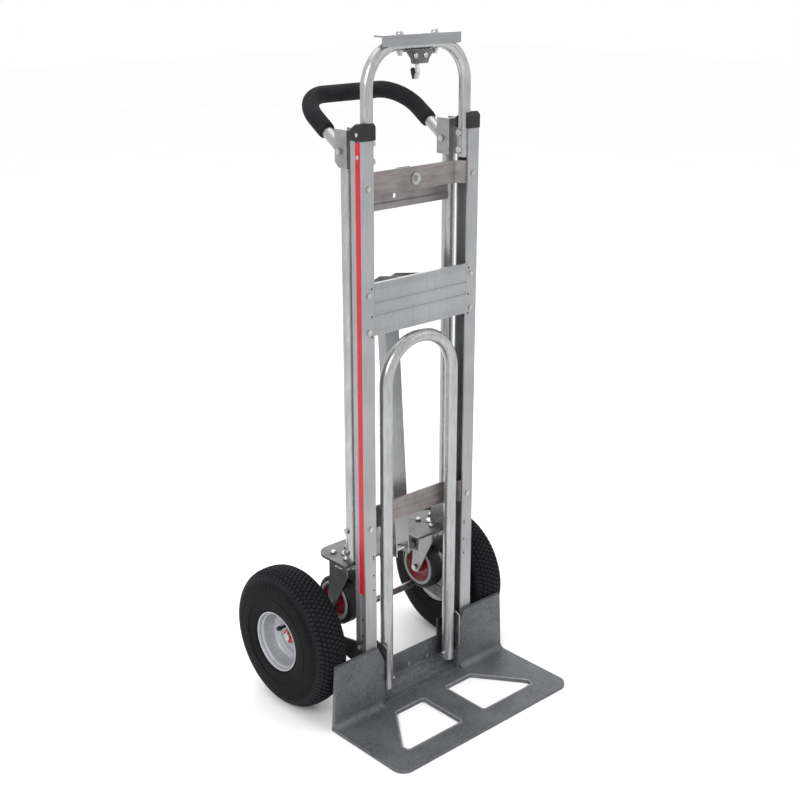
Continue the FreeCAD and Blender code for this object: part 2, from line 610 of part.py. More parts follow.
def build_handle():
    for side, sign in MAIN_SIDES:
        tube = new_body(side + "_handle_tube")
        sketch = new_sketch(tube, "XY_Plane", "tube_low")
        ring(sketch, 0, 0, "tube_rad")
        ring(sketch, 0, 0, "tube_bore")
        pad(tube, sketch, "tube_top - tube_low")
        locate(tube, "%d * tube_x" % sign, "tube_y", 0)
        bracket = new_body(side + "_grip_bracket")
        near = "%d * ( tube_x - tube_rad - 2.2 )" % sign
        far = "%d * ( tube_x + tube_rad + 1.7 )" % sign
        plate(bracket, "YZ_Plane", box_corners(43, 76, 1084, 1151), near + " - 2", 4)
        plate(bracket, "YZ_Plane", [(43, 1084), (66, 1084), (76, 1094), (76, 1151), (43, 1151)], far + " - 1.5", 3)
        front_plate(bracket, box_corners(near, far, 1084, 1151), 43, 3)
        angle = new_body(side + "_deck_angle")
        plate(angle, "YZ_Plane", [(48, "tube_low"), (86, "tube_low"), (86, 330), (74, 396), (48, 396)],
              "%d * ( tube_x - tube_rad - 2.2 ) - 2" % sign, 4)
    cross = new_body("handle_cross_channel")
    outline = [("tube_y - 13", "cross_low"), ("tube_y + 10", "cross_low"), ("tube_y + 10", "cross_low + 3"),
               ("tube_y - 7", "cross_low + 3"), ("tube_y - 7", "cross_top - 3"), ("tube_y + 10", "cross_top - 3"),
               ("tube_y + 10", "cross_top"), ("tube_y - 10", "cross_top"), ("tube_y - 10", "cross_low + 13"),
               ("tube_y - 13", "cross_low + 11")]
    plate(cross, "YZ_Plane", outline, "-( tube_x - tube_rad - 0.3 )", "2 * ( tube_x - tube_rad - 0.3 )")
    front_plate(cross, box_corners(-16, 16, "cross_top - 1", 1072), "tube_y - 10", 3, [(0, "stud_z", 7.3)])
    pocket(cross, "XZ_Plane", [box_corners(-26, -18, 1018, 1026)], "square_hole")
    grip = hoop("grip_tube", "tube_x", "grip_run", "grip_bend", "grip_tube", "grip_bore")
    locate(grip, 0, "grip_y", "grip_z", Rotation(Vector(1, 0, 0), number("grip_tilt")))
    foam = hoop("foam_grip", "tube_x", "grip_run", "grip_bend", "foam_rad", "grip_tube + 0.05", "foam_start")
    locate(foam, 0, "grip_y", "grip_z", Rotation(Vector(1, 0, 0), number("grip_tilt")))
    deck = new_body("caster_deck_plate")
    plate(deck, "XY_Plane", [
        ("-( deck_half )", "deck_front"), (-34, "deck_front"), (-34, 82), (34, 82), (34, "deck_front"),
        ("deck_half", "deck_front"), ("deck_half", "deck_rear"), ("-( deck_half )", "deck_rear")],
        "deck_low", "deck_gauge")
    rear = number("deck_rear") - 0.1
    round_edges(deck, "deck_corner", lambda edge: edge.BoundBox.YMin > rear and edge.BoundBox.ZLength > 1)
    for sign in (-1, 1):
        ear = [("deck_front + 2", 284), (76, 284), (84, "deck_low + 2"), ("deck_front + 2", "deck_low + 2")]
        plate(deck, "YZ_Plane", ear, "%d * 38 - 2" % sign, 4, [("lower_y", "lower_z", "strut_pin + 0.03")])
    revolve("strut_lower_rod", [
        (-48, 0), (48, 0), (48, 8), (43, 8), (43, "strut_pin"), (-43, "strut_pin"), (-43, 8), (-48, 8)],
        0, "lower_y", "lower_z")
    bolts, grip_bolts = [], []
    for side, sign in MAIN_SIDES:
        for index, z in enumerate((333, 379)):
            bolts.append(cross_bolt("deck_bolt_%s_%d" % (side, index), sign, "tube_x - tube_rad - 4.3 - head_high",
                                    "tube_x + tube_rad + head_high + 1.2", "tube_y", z))
        grip_bolts.append(cross_bolt("grip_bolt_" + side, sign, "tube_x - tube_rad - 4.3 - head_high",
                                     "tube_x + tube_rad + head_high + 4.5", 62.5, 1112.5))
    group("deck_angle_bolts", bolts)
    group("grip_bracket_bolts", grip_bolts)


def coil(label, start):
    """Torsion spring wound around the strut's lower rod."""
    wire = number("spring_wire")
    radius = number("strut_pin") + 1.2 + wire
    path = Part.makeHelix(2 * wire + 0.3, number("spring_run"), radius)
    section = Part.Wire([Part.makeCircle(wire, Vector(radius, 0, 0), Vector(0, 1, 0))])
    feature = doc.addObject("Part::Feature", label + "_coil")
    feature.Shape = Part.Wire(path).makePipeShell([section], True, True)
    feature.Placement = FreeCAD.Placement(
        Vector(number(start), number("lower_y"), number("lower_z")), TO_X)
    return piece(feature, label)


def build_latch():
    for side, start in (("left", "-( strut_half ) - 16.6"), ("right", "strut_half + 2.6")):
        coil(side + "_torsion_spring", start)
    revolve("locating_stud", [
        (-12, 0), (34.5, 0), (34.5, 3), (32.5, 5), (9, 5), (9, 10), (2.3, 10), (2.3, 5), (-2.3, 5), (-2.3, 11),
        (-4.3, 11), (-4.3, 7), (-9.5, 7), (-9.5, 5), (-12, 5)],
        0, "rail_wall + upper_bar_set + strap_gauge / 2", "stud_z", Rotation(Vector(0, 0, 1), 90))


def build_casters():
    plates = []
    for side, sign in MAIN_SIDES:
        x = "%d * caster_x" % sign
        pad_plate = doc.addObject("Part::Box", side + "_pad_plate")
        pad_plate.Length = 46
        pad_plate.Width = 50
        pad_plate.Height = 4
        locate(pad_plate, "%s - 23" % x, "caster_y - 25", "deck_low - 4.3")
        race = cylinder(side + "_race", "race_rad", 5, x, "caster_y", "deck_low - 9.3")
        kingpin = cylinder(side + "_kingpin", 5, 17, x, "caster_y", "deck_low - 20")
        plates.append(fuse(side + "_mounting", [pad_plate, race, kingpin]))
        fork = new_body(side + "_caster_fork")
        crown = new_sketch(fork, "XY_Plane", 293)
        polygon(crown, box_corners("-( fork_half ) - fork_gauge", "fork_half + fork_gauge", -24, 30))
        ring(crown, 0, 0, 5.05)
        pad(fork, crown, 4)
        for edge in (-1, 1):
            plate(fork, "YZ_Plane", [
                (-24, 297), (30, 297), (30, 268), ("caster_trail + 11", "caster_axle - 4"),
                ("caster_trail + 5", "caster_axle - 11"), ("caster_trail - 6", "caster_axle - 11"),
                ("caster_trail - 12", "caster_axle - 2"), (-24, 276)],
                "%d * ( fork_half + fork_gauge / 2 ) - fork_gauge / 2" % edge, "fork_gauge",
                [("caster_trail", "caster_axle", 4.05)])
        locate(fork, x, "caster_y", 0)
        place = (x, "caster_y + caster_trail", "caster_axle")
        revolve(side + "_caster_tyre", [
            ("-( caster_half )", "caster_core"), ("caster_half", "caster_core"), ("caster_half", "caster_rad - 5"),
            ("caster_half - 4", "caster_rad"), ("-( caster_half ) + 4", "caster_rad"),
            ("-( caster_half )", "caster_rad - 5")], *place)
        revolve(side + "_caster_core", [
            (-18, 4.08), (18, 4.08), (18, 10), (6, 14), (6, 30), ("caster_half", "caster_core"),
            ("-( caster_half )", "caster_core"), (-6, 30), (-6, 14), (-18, 10)], *place)
        pin = cylinder(side + "_caster_pin", "bolt_rad", 50, "%s - 25" % x, "caster_y + caster_trail",
                       "caster_axle", TO_X)
        reaches = ("fork_half + fork_gauge + 0.2", "-( fork_half + fork_gauge + 0.2 + head_high )")
        ends = [hexagon("%s_caster_hex_%d" % (side, index), "%s + ( %s )" % (x, reach), "caster_y + caster_trail",
                        "caster_axle", TO_X) for index, reach in enumerate(reaches)]
        piece(fuse(side + "_caster_bolt", [pin] + ends), side + "_caster_axle_bolt")
    group("caster_top_plates", plates)


def join_sides(name):
    """Put a left and right pair of small fittings in one node."""
    pair = [item for item in PIECES if item.Label in ("left_" + name, "right_" + name)]
    for item in pair:
        PIECES.remove(item)
    group(name + "s", pair)


def check_and_write():
    """Stop on any broken object, then write one STEP file for each piece."""
    doc.recompute()
    broken = [item.Label for item in doc.Objects if "Invalid" in item.State or "Error" in item.State]
    for target in PIECES:
        if target.Shape.isNull() or not target.Shape.isValid() or not target.Shape.Solids:
            broken.append(target.Label)
    if broken:
        raise RuntimeError("broken objects: " + ", ".join(broken))
    os.makedirs("parts", exist_ok=True)
    for target in PIECES:
        target.Shape.exportStep("parts/%s.step" % target.Label)


build_rails()
build_crossbars()
build_top()
build_hook()
build_nose()
build_extension()
build_axle()
build_wheels()
build_strut()
build_handle()
build_latch()
build_casters()
for fitting in ("trim_strip", "rail_cap", "torsion_spring", "grip_bracket", "deck_angle", "strut_bracket",
                "extension_bracket", "axle_bracket"):
    join_sides(fitting)
check_and_write()
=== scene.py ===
import json
import math

import bmesh
import bpy
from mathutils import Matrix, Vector


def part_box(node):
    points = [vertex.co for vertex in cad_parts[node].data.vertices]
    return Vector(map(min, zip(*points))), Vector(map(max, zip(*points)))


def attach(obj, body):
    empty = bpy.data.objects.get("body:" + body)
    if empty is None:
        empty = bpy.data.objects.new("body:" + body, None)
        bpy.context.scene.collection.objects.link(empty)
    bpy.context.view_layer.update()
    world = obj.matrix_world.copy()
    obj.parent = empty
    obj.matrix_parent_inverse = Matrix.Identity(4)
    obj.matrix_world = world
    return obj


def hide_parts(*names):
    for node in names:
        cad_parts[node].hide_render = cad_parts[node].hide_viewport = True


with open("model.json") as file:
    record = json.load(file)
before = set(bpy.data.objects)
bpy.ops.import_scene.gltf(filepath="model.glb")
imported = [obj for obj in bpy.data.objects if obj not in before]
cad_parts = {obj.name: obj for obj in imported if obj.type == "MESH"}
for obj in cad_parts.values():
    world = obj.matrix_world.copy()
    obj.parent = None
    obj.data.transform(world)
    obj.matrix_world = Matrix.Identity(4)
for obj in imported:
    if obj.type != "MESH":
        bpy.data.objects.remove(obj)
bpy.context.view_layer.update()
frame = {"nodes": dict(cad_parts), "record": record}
nodes = frame["nodes"]

MM = 0.001
SIDES = (("left", -1), ("right", 1))


# ---------- materials ----------

def ramp_colors(ramp, stops):
    """Set a colour ramp's stops: (position, colour)."""
    band = ramp.color_ramp
    while len(band.elements) < len(stops):
        band.elements.new(0.5)
    for element, (place, color) in zip(band.elements, stops):
        element.position = place
        element.color = (*color, 1)


def noise_texture(tree, vector, scale, detail):
    """Noise over a vector, as a node."""
    noise = tree.nodes.new("ShaderNodeTexNoise")
    noise.inputs["Scale"].default_value = scale
    noise.inputs["Detail"].default_value = detail
    tree.links.new(vector, noise.inputs["Vector"])
    return noise


def blotches(tree, vector, color, noise_size, shade, edges, share):
    """Blend a shade into a colour where noise rises between two edges, up to a share."""
    cloud = noise_texture(tree, vector, *noise_size)
    mask = tree.nodes.new("ShaderNodeMapRange")
    mask.inputs["From Min"].default_value, mask.inputs["From Max"].default_value = edges
    mask.inputs["To Max"].default_value = share
    tree.links.new(cloud.outputs["Fac"], mask.inputs["Value"])
    blend = tree.nodes.new("ShaderNodeMixRGB")
    blend.inputs["Color2"].default_value = (*shade, 1)
    tree.links.new(mask.outputs["Result"], blend.inputs["Fac"])
    tree.links.new(color, blend.inputs["Color1"])
    return blend.outputs["Color"]


def sum_of(tree, first, second):
    """Two values added together, as a socket."""
    total = tree.nodes.new("ShaderNodeMath")
    total.operation = "ADD"
    tree.links.new(first, total.inputs[0])
    tree.links.new(second, total.inputs[1])
    return total.outputs["Value"]


def surface(name, dark, light, grain, stretch=(1, 1, 1), metallic=0.0, rough=(0.4, 0.6),
            bump=0.1, fine=None, spots=None, coat=0.0, depth=0.0004, mottle=None, shine=0.5):
    """Procedural finish: two tones of noise, its roughness and bump, optional specks and mottling."""
    mat = bpy.data.materials.new(name)
    mat.use_nodes = True
    tree = mat.node_tree
    link = tree.links.new
    shader = tree.nodes["Principled BSDF"]
    shader.inputs["Metallic"].default_value = metallic
    shader.inputs["Coat Weight"].default_value = coat
    shader.inputs["Specular IOR Level"].default_value = shine
    place = tree.nodes.new("ShaderNodeTexCoord").outputs["Object"]
    stretcher = tree.nodes.new("ShaderNodeMapping")
    stretcher.inputs["Scale"].default_value = stretch
    link(place, stretcher.inputs["Vector"])
    noise = noise_texture(tree, stretcher.outputs["Vector"], grain, 6)
    noise.inputs["Roughness"].default_value = 0.65
    tones = tree.nodes.new("ShaderNodeValToRGB")
    ramp_colors(tones, [(0.3, dark), (0.7, light)])
    link(noise.outputs["Fac"], tones.inputs["Fac"])
    color = tones.outputs["Color"]
    if mottle:
        scale, shade, share = mottle
        color = blotches(tree, place, color, (scale, 3), shade, (0.42, 0.68), share)
    if spots:
        scale, shade, edge = spots
        color = blotches(tree, place, color, (scale, 2), shade, (edge, edge + 0.08), 1)
    link(color, shader.inputs["Base Color"])
    gloss = tree.nodes.new("ShaderNodeMapRange")
    gloss.inputs["To Min"].default_value, gloss.inputs["To Max"].default_value = rough
    link(noise.outputs["Fac"], gloss.inputs["Value"])
    link(gloss.outputs["Result"], shader.inputs["Roughness"])
    height = noise.outputs["Fac"]
    if fine:
        height = sum_of(tree, height, noise_texture(tree, place, fine, 4).outputs["Fac"])
    relief = tree.nodes.new("ShaderNodeBump")
    relief.inputs["Strength"].default_value = bump
    relief.inputs["Distance"].default_value = depth
    link(height, relief.inputs["Height"])
    link(relief.outputs["Normal"], shader.inputs["Normal"])
    return mat


FINISH = {
    "rail": surface("extruded_aluminium", (0.275, 0.280, 0.288), (0.385, 0.391, 0.402), 90,
                    (6, 6, 0.12), 0.75, (0.32, 0.50), 0.12, fine=900,
                    mottle=(9, (0.235, 0.240, 0.248), 0.5)),
    "angle": surface("angle_bar_aluminium", (0.215, 0.221, 0.230), (0.300, 0.307, 0.318), 90,
                     (0.12, 6, 6), 0.75, (0.32, 0.48), 0.12, fine=900,
                     mottle=(12, (0.19, 0.195, 0.205), 0.5)),
    "strap": surface("mill_strap", (0.172, 0.152, 0.150), (0.280, 0.252, 0.248), 60,
                     (0.25, 1, 3), 0.6, (0.36, 0.56), 0.16, fine=700,
                     mottle=(22, (0.125, 0.110, 0.108), 0.7)),
    "channel": surface("cross_channel", (0.190, 0.176, 0.178), (0.290, 0.272, 0.275), 60,
                       (0.25, 1, 4), 0.6, (0.34, 0.54), 0.16, fine=700,
                       mottle=(18, (0.140, 0.128, 0.130), 0.7)),
    "tube": surface("drawn_tube", (0.310, 0.312, 0.316), (0.455, 0.458, 0.462), 110,
                    (2, 2, 0.25), 0.8, (0.20, 0.36), 0.08, fine=1000,
                    mottle=(14, (0.27, 0.272, 0.276), 0.45)),
    "cast": surface("cast_nose", (0.054, 0.057, 0.064), (0.132, 0.137, 0.149), 150,
                    (1, 1, 1), 0.45, (0.42, 0.66), 0.55, fine=650,
                    spots=(420, (0.28, 0.285, 0.30), 0.66), depth=0.0008,
                    mottle=(11, (0.16, 0.165, 0.178), 0.6)),
    # Lighter cast colour for the beads round the nose plate's holes: partly edge wear, partly a painted
    # highlight.
    "cast_edge": surface("worn_and_highlit_cast_edge", (0.17, 0.175, 0.185), (0.30, 0.305, 0.315), 150,
                         (1, 1, 1), 0.5, (0.36, 0.56), 0.4, fine=650),
    "red_strip": surface("red_strip", (0.38, 0.004, 0.016), (0.48, 0.008, 0.026), 60,
                         rough=(0.25, 0.36), bump=0.04, coat=0.1, fine=600, shine=0.3),
    "black_plastic": surface("black_plastic", (0.005, 0.005, 0.006), (0.014, 0.014, 0.016), 240,
                             rough=(0.36, 0.52), bump=0.2, fine=900, shine=0.3),
    "foam": surface("foam_skin", (0.005, 0.005, 0.006), (0.016, 0.016, 0.018), 420,
                    rough=(0.66, 0.86), bump=0.55, fine=1500,
                    mottle=(30, (0.022, 0.022, 0.024), 0.5), shine=0.12),
    "zinc": surface("zinc_plate", (0.36, 0.358, 0.350), (0.52, 0.517, 0.505), 60,
                    metallic=0.95, rough=(0.20, 0.34), bump=0.08, fine=900),
    "plate": surface("plated_sheet", (0.25, 0.250, 0.254), (0.37, 0.370, 0.376), 45,
                     metallic=0.85, rough=(0.28, 0.44), bump=0.12, fine=800,
                     mottle=(30, (0.20, 0.20, 0.205), 0.45)),
    "dark_steel": surface("dark_steel", (0.055, 0.055, 0.056), (0.14, 0.14, 0.142), 70,
                          metallic=0.8, rough=(0.34, 0.56), bump=0.16, fine=800,
                          mottle=(26, (0.19, 0.19, 0.19), 0.5)),
    "rim_paint": surface("rim_silver", (0.30, 0.308, 0.330), (0.40, 0.408, 0.430), 200,
                         metallic=0.45, rough=(0.42, 0.56), bump=0.1, fine=1200),
    "caster_rubber": surface("caster_rubber", (0.005, 0.005, 0.006), (0.014, 0.014, 0.015), 150,
                             rough=(0.42, 0.6), bump=0.2, fine=900, shine=0.25),
    "red_core": surface("red_core", (0.16, 0.006, 0.012), (0.28, 0.012, 0.022), 90,
                        rough=(0.30, 0.46), bump=0.12, fine=700, coat=0.1),
    "red_washer": surface("red_washer", (0.34, 0.008, 0.012), (0.46, 0.014, 0.018), 90,
                          rough=(0.32, 0.46), bump=0.1, fine=700),
    "grey_ring": surface("grey_ring", (0.24, 0.24, 0.25), (0.34, 0.34, 0.35), 120,
                         rough=(0.4, 0.55), bump=0.1, fine=700),
}


def tyre_rubber(name):
    return surface(name, (0.001, 0.001, 0.0015), (0.005, 0.005, 0.006), 130, rough=(0.48, 0.66),
                   bump=0.3, fine=1100, mottle=(20, (0.008, 0.008, 0.009), 0.5), shine=0.07)


FINISH["tyre"] = tyre_rubber("tyre_rubber")

# Nodes that look different from the rest of their material slot.
OWN_FINISH = {
    "top_angle_bar": "angle", "handle_cross_channel": "channel", "grip_brackets": "plate",
    "deck_angles": "plate", "left_caster_fork": "plate", "right_caster_fork": "plate",
}


def attribute(tree, name):
    """A mesh attribute's value, as a socket."""
    node = tree.nodes.new("ShaderNodeAttribute")
    node.attribute_name = name
    return node.outputs["Fac"]


def calculation(tree, operation, first, second):
    """A maths node on two sockets or numbers, as a socket."""
    node = tree.nodes.new("ShaderNodeMath")
    node.operation = operation
    for socket, value in zip(node.inputs, (first, second)):
        if isinstance(value, (int, float)):
            socket.default_value = value
        else:
            tree.links.new(value, socket)
    return node.outputs["Value"]


def tread_shading(mat, centre):
    """Painted sheen with some dust on the tread's top, painted shade in its grooves, and fine radial
    ribs on the upper side walls.
    """
    ribs_around = 150
    tree = mat.node_tree
    link = tree.links.new
    shader = tree.nodes["Principled BSDF"]
    # Painted sheen, partly dust: the top of the tread is lightened.
    sheen_and_dust_lift = tree.nodes.new("ShaderNodeMixRGB")
    sheen_and_dust_lift.blend_type = "ADD"
    sheen_and_dust_lift.inputs["Color2"].default_value = (0.010, 0.010, 0.012, 1)
    link(attribute(tree, "crown"), sheen_and_dust_lift.inputs["Fac"])
    link(shader.inputs["Base Color"].links[0].from_socket, sheen_and_dust_lift.inputs["Color1"])
    # Painted shade: the tread's cuts are darkened to near black.
    painted_groove_shade = tree.nodes.new("ShaderNodeMixRGB")
    painted_groove_shade.inputs["Color2"].default_value = (0.0012, 0.0012, 0.0013, 1)
    link(attribute(tree, "painted_groove_shade"), painted_groove_shade.inputs["Fac"])
    link(sheen_and_dust_lift.outputs["Color"], painted_groove_shade.inputs["Color1"])
    link(painted_groove_shade.outputs["Color"], shader.inputs["Base Color"])
    place = tree.nodes.new("ShaderNodeTexCoord")
    split = tree.nodes.new("ShaderNodeSeparateXYZ")
    link(place.outputs["Object"], split.inputs["Vector"])
    across = calculation(tree, "SUBTRACT", split.outputs["Y"], centre[1])
    upward = calculation(tree, "SUBTRACT", split.outputs["Z"], centre[2])
    angle = calculation(tree, "ARCTAN2", upward, across)
    ribs = calculation(tree, "SINE", calculation(tree, "MULTIPLY", angle, ribs_around), 0.0)
    relief = tree.nodes.new("ShaderNodeBump")
    relief.inputs["Strength"].default_value = 0.9
    relief.inputs["Distance"].default_value = 0.0012
    link(calculation(tree, "MULTIPLY", ribs, attribute(tree, "side_band")), relief.inputs["Height"])
    link(shader.inputs["Normal"].links[0].from_socket, relief.inputs["Normal"])
    link(relief.outputs["Normal"], shader.inputs["Normal"])


SLOT_OF = {item["node"]: item["material_slot"] for item in frame["record"]["subparts"]}
for label, node in nodes.items():
    node.data.materials.clear()
    node.data.materials.append(FINISH[OWN_FINISH.get(label, SLOT_OF[label])])


# ---------- mesh helpers ----------

def new_object(name, bm, mat, smooth=True):
    mesh = bpy.data.meshes.new(name)
    bm.normal_update()
    bm.to_mesh(mesh)
    bm.free()
    for face in mesh.polygons:
        face.use_smooth = smooth
    obj = bpy.data.objects.new(name, mesh)
    bpy.context.scene.collection.objects.link(obj)
    mesh.materials.append(mat)
    return obj


def skin(name, rings, mat, closed=True, smooth=True):
    """Quads between rings of points; closed joins the last ring to the first."""
    bm = bmesh.new()
    made = [[bm.verts.new(point) for point in ring] for ring in rings]
    spans = len(made) if closed else len(made) - 1
    around = len(made[0])
    for i in range(spans):
        here, there = made[i], made[(i + 1) % len(made)]
        for j in range(around):
            bm.faces.new((here[j], here[(j + 1) % around], there[(j + 1) % around], there[j]))
    if not closed:
        bm.faces.new(list(reversed(made[0])))
        bm.faces.new(made[-1])
    bmesh.ops.recalc_face_normals(bm, faces=bm.faces)
    return new_object(name, bm, mat, smooth)


def smooth_profile(points, steps):
    """Catmull-Rom curve through open profile points."""
    ends = [points[0]] + list(points) + [points[-1]]
    result = []
    for i in range(1, len(ends) - 2):
        p0, p1, p2, p3 = (Vector(p) for p in ends[i - 1:i + 3])
        for k in range(steps):
            t = k / steps
            result.append(0.5 * (2 * p1 + (p2 - p0) * t + (2 * p0 - 5 * p1 + 4 * p2 - p3) * t ** 2
                                 + (3 * p1 - p0 - 3 * p2 + p3) * t ** 3))
    result.append(Vector(points[-1]))
    return result


def triangle(value):
    """Triangle wave from -1 to 1 with period 1."""
    return 4 * abs(value - math.floor(value + 0.5)) - 1


def clamp(value):
    return min(1, max(0, value))


def box_middle(label):
    """Middle of a node's box."""
    low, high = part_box(label)
    return (Vector(low) + Vector(high)) / 2


# ---------- main tyres ----------

TREAD_BLOCKS = 88
STEPS_PER_BLOCK = 8
TREAD_ROWS = 4
ROW_WIDTH = 8.5
TREAD_DEPTH = 3.0


def tread_cut(across, share):
    """How deep the tread is cut, 0 to 1, at a distance from the middle in mm and a share of the turn."""
    zigzag, groove_half, cross_start, slant = 1.9, 0.7, 0.36, 0.035
    deepest = 0.0
    for row in range(TREAD_ROWS):
        middle = row * ROW_WIDTH
        zig = triangle(share * TREAD_BLOCKS + 0.5 * row) * zigzag
        gap = abs(across - middle - zig) - groove_half
        deepest = max(deepest, clamp(1 - gap / 0.8))
        phase = (share * TREAD_BLOCKS + 0.25 + 0.5 * row + slant * (across - middle)) % 1
        if middle <= across < middle + ROW_WIDTH:
            deepest = max(deepest, clamp((abs(phase - 0.5) - cross_start) / 0.08))
    return deepest


def tyre_outline(outer, half):
    """Section of the tyre from bead to bead, as (distance from the middle, radius)."""
    edge = [
        (25 * MM, outer - 87 * MM), (31 * MM, outer - 84.5 * MM),
        (half - 4.6 * MM, outer - 81 * MM), (half - 2 * MM, outer - 74 * MM),
        (half - 0.8 * MM, outer - 57 * MM), (half + 0.4 * MM, outer - 55 * MM),
        (half - 0.4 * MM, outer - 53 * MM), (half - 0.6 * MM, outer - 43 * MM),
        (half - 2.6 * MM, outer - 24 * MM), (32 * MM, outer - 11 * MM),
        (22 * MM, outer - 3.4 * MM), (9 * MM, outer - 0.4 * MM)]
    return smooth_profile(edge + [(-x, r) for x, r in reversed(edge)], 7)


def tyre(side):
    low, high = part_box(side + "_tyre")
    centre = (Vector(low) + Vector(high)) / 2
    outer = (high[2] - low[2]) / 2
    half = (high[0] - low[0]) / 2
    outline = tyre_outline(outer, half)
    turns = TREAD_BLOCKS * STEPS_PER_BLOCK
    rings, marks = [], {"painted_groove_shade": [], "crown": [], "side_band": []}
    for i in range(turns):
        share = i / turns
        angle = 2 * math.pi * share
        ring = []
        for p in outline:
            across = abs(p.x) / MM
            inset = (outer - p.y) / MM
            tread_band = clamp((24 - inset) / 8)
            cut = tread_cut(across, share + (0.5 / TREAD_BLOCKS if p.x < 0 else 0)) * tread_band
            radius = p.y - cut * TREAD_DEPTH * MM
            ring.append((centre.x + p.x, centre.y + radius * math.cos(angle),
                         centre.z + radius * math.sin(angle)))
            # Masks for the shading: cut depth for the painted shade in the cuts, tread band for the
            # painted sheen with dust, side band for the ribs.
            marks["painted_groove_shade"].append(cut)
            marks["crown"].append(tread_band)
            marks["side_band"].append(clamp((inset - 12) / 4) * clamp((38 - inset) / 5))
        rings.append(ring)
    rubber = tyre_rubber(side + "_tyre_rubber")
    tread_shading(rubber, centre)
    body = skin(side + "_tyre_tread", rings, rubber)
    for name, values in marks.items():
        layer = body.data.attributes.new(name, "FLOAT", "POINT")
        layer.data.foreach_set("value", values)
    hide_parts(side + "_tyre")
    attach(body, side + "_wheel")


for side, _ in SIDES:
    tyre(side)


# ---------- foam grip ----------

def hoop_path(half, run, bend, start, step):
    """Points of a U: up one leg, round two bends, down the other leg."""
    points = []
    count = max(2, int((run - bend - start) / step))
    for k in range(count):
        points.append((-half, start + (run - bend - start) * k / count))
    turns = 16
    for k in range(turns):
        a = math.pi - math.pi / 2 * k / turns
        points.append((-half + bend + bend * math.cos(a), run - bend + bend * math.sin(a)))
    span = 2 * (half - bend)
    count = max(2, int(span / step))
    for k in range(count):
        points.append((-half + bend + span * k / count, run))
    mirror = [(-x, y) for x, y in reversed(points)]
    return points + mirror


def sleeve_ring(place, along, normal, radius):
    """Round section at a place, square to the way along."""
    around = 40
    aside = along.cross(normal).normalized()
    return [place + (aside * math.cos(t) + normal * math.sin(t)) * radius
            for t in (2 * math.pi * j / around for j in range(around))]


def foam_grip():
    """Foam sleeve on the grip tube's U, with rounded ends and a slightly uneven skin."""
    tilt = math.radians(34)
    origin = Vector((0, 60 * MM, 1104 * MM))
    end_radii = (11.4, 13.5, 15.0)
    path = hoop_path(126 * MM, 164 * MM, 60 * MM, 66 * MM, 6 * MM)
    points = [origin + Vector((x, y * math.cos(tilt), y * math.sin(tilt))) for x, y in path]
    normal = Vector((0, -math.sin(tilt), math.cos(tilt)))
    lengths = [0.0]
    for a, b in zip(points, points[1:]):
        lengths.append(lengths[-1] + (b - a).length)
    first = (points[1] - points[0]).normalized()
    last = (points[-1] - points[-2]).normalized()
    rings = [sleeve_ring(points[0], first, normal, radius * MM) for radius in end_radii]
    for index in range(1, len(points) - 1):
        along = (points[index + 1] - points[index - 1]).normalized()
        from_end = min(lengths[index], lengths[-1] - lengths[index])
        edge = min(1, from_end / (5 * MM))
        swell = 0.35 * math.sin(lengths[index] * 61) + 0.2 * math.sin(lengths[index] * 173)
        radius = (15.2 + 0.75 * edge + 0.25 * swell) * MM
        rings.append(sleeve_ring(points[index], along, normal, radius))
    rings += [sleeve_ring(points[-1], last, normal, radius * MM) for radius in reversed(end_radii)]
    grip = skin("foam_grip_sleeve", rings, FINISH["foam"], closed=False)
    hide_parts("foam_grip")
    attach(grip, "handle")


foam_grip()


# ---------- turned details ----------

def turned(name, centre, axis, profile, mat, around=48):
    """Closed ring turned about X, Y or Z from (along, radius) points."""
    rings = []
    for i in range(around):
        a = 2 * math.pi * i / around
        ring = []
        for along, radius in profile:
            u, v = radius * math.cos(a), radius * math.sin(a)
            offset = {"X": (along, u, v), "Y": (u, along, v), "Z": (u, v, along)}[axis]
            ring.append(Vector(centre) + Vector(offset))
        rings.append(ring)
    return skin(name, rings, mat)


def rim(side, sign):
    """Pressed rim: rolled lip, smooth deep bowl and flat disc on the outside, stepped barrel inside."""
    bowl = smooth_profile([
        (38, 61.9), (38, 60.6), (37.2, 59.2), (34, 57.8), (31, 57.2), (28.5, 54.4), (18, 52.6),
        (9, 50.2), (4, 47.2), (0.5, 40.5), (-1.2, 38.5), (-1.2, 34.5), (0.3, 30.5), (0, 24),
        (0, 17.2)], 4)
    barrel = [
        (-3, 17.2), (-3, 27), (-6, 31), (-6, 40), (-2.5, 46), (-17, 46), (-23, 51.5), (-35, 51.5),
        (-38, 61.9), (-36, 61.9), (-32.5, 53.4), (-24, 53.4), (-20, 48), (2, 48), (12, 51),
        (22, 55), (32, 58.6), (36, 61.9)]
    profile = [(sign * p[0] * MM, p[1] * MM) for p in list(bowl) + barrel]
    centre = box_middle(side + "_rim")
    body = turned(side + "_pressed_rim", centre, "X", profile, FINISH["rim_paint"], 96)
    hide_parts(side + "_rim")
    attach(body, side + "_wheel")


for side, sign in SIDES:
    rim(side, sign)


def caster_rings(side):
    """Grey ring on each face of a caster's core."""
    hub = box_middle(side + "_caster_core")
    for face, label in ((-1, "in"), (1, "out")):
        reach = face * 14 * MM
        ring = turned("%s_caster_ring_%s" % (side, label), hub, "X", [
            (reach, 34.5 * MM), (reach + face * 1.2 * MM, 35.2 * MM),
            (reach + face * 1.5 * MM, 38 * MM), (reach + face * 1.0 * MM, 41 * MM),
            (reach, 42 * MM)], FINISH["grey_ring"])
        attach(ring, side + "_caster_wheel")


